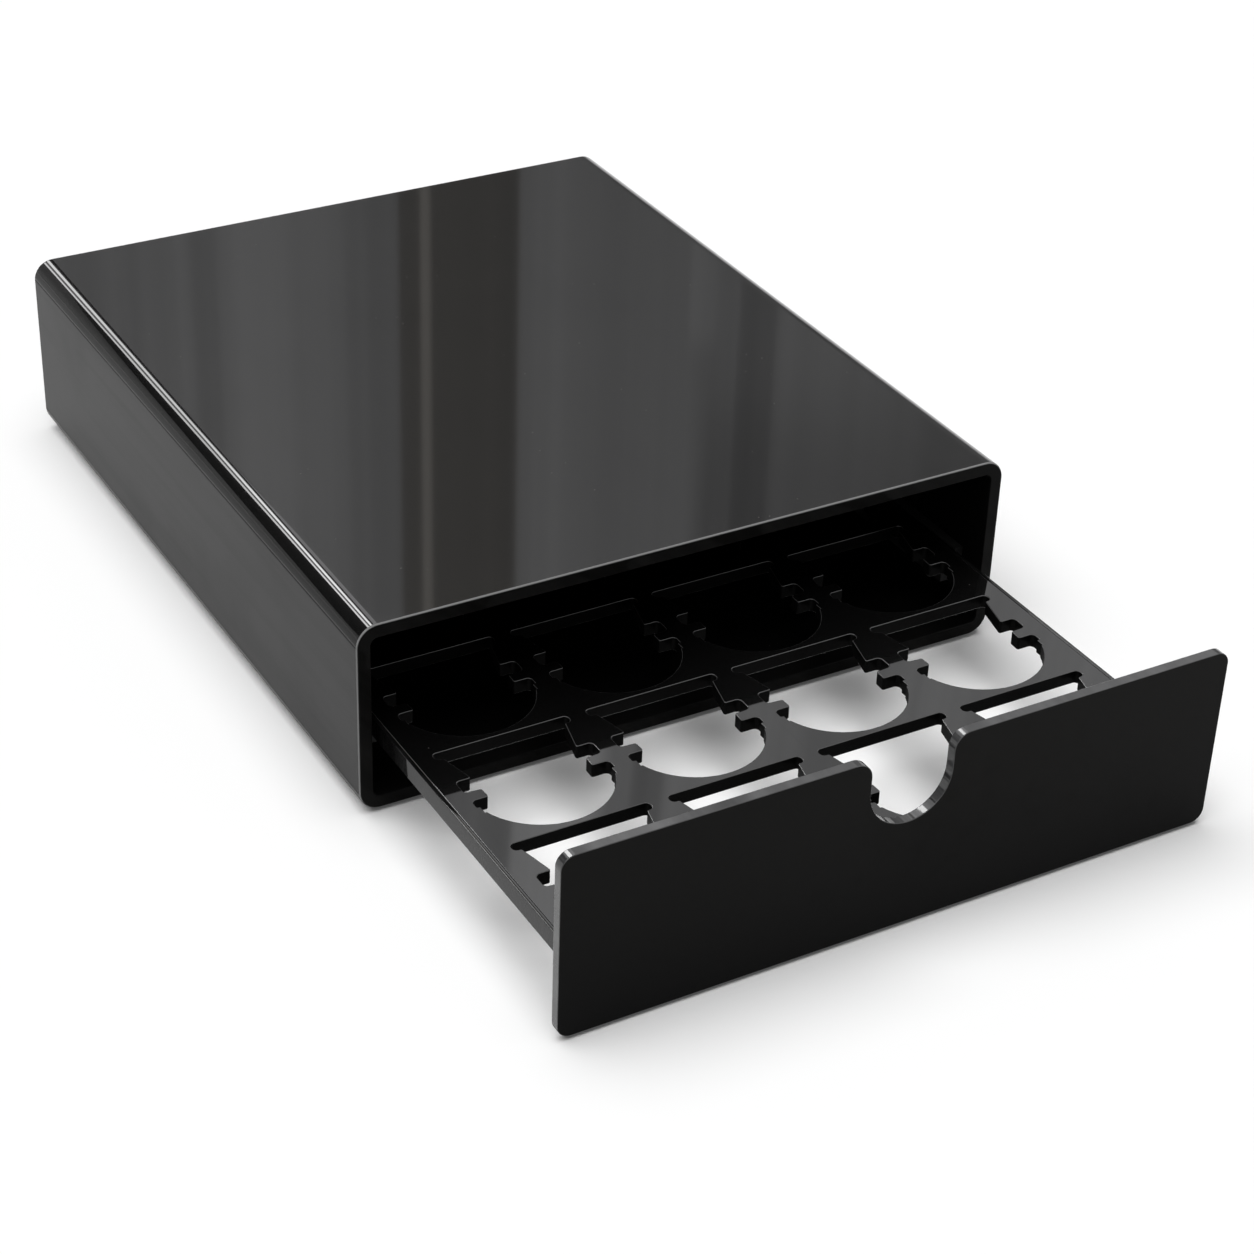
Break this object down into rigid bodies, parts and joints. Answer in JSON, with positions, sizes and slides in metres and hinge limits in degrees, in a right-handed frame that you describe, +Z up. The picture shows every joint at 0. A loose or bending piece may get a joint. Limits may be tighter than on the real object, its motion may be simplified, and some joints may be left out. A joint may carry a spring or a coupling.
{
  "type": "coffee pod drawer",
  "caption": "Low gloss-black case with a perforated pod tray that slides out of its front on side runners, behind a flat front plate with a U-shaped finger notch.",
  "frame": {"origin": "middle of the footprint on the surface that the feet stand on, with the drawer drawn out as in the picture", "axes": "+Z up, -Y towards the user (the drawer comes out along -Y), +X to the user's right"},
  "size_m": [0.26, 0.4442, 0.0755],
  "materials": {
    "case_plastic": "polished sheet plastic, gloss black",
    "drawer_plastic": "polished sheet plastic, gloss black, cut edges satin",
    "strip_plastic": "cut sheet plastic, satin black",
    "foot_rubber": "matt black rubber",
    "bumper_silicone": "cloudy silicone"
  },
  "bodies": {
    "case": {"case_sleeve": "case_plastic", "back_panel": "case_plastic", "left_lower_runner": "strip_plastic", "left_side_spacer": "strip_plastic", "left_upper_runner": "strip_plastic", "right_lower_runner": "strip_plastic", "right_side_spacer": "strip_plastic", "right_upper_runner": "strip_plastic", "front_left_foot": "foot_rubber", "front_right_foot": "foot_rubber", "rear_left_foot": "foot_rubber", "rear_right_foot": "foot_rubber", "left_rear_bumper": "bumper_silicone", "right_rear_bumper": "bumper_silicone"},
    "drawer": {"pod_tray": "drawer_plastic", "drawer_front": "drawer_plastic", "left_glide_strip": "strip_plastic", "right_glide_strip": "strip_plastic", "front_glue_block_1": "strip_plastic", "front_glue_block_2": "strip_plastic", "front_glue_block_3": "strip_plastic", "front_glue_block_4": "strip_plastic", "front_glue_block_5": "strip_plastic", "left_stop_block": "strip_plastic", "right_stop_block": "strip_plastic"}
  },
  "joints": [
    {"name": "drawer_slide", "type": "slide", "parent": "case", "child": "drawer", "axis": [0, -1, 0], "range_m": [-0.13, 0.047]}
  ]
}
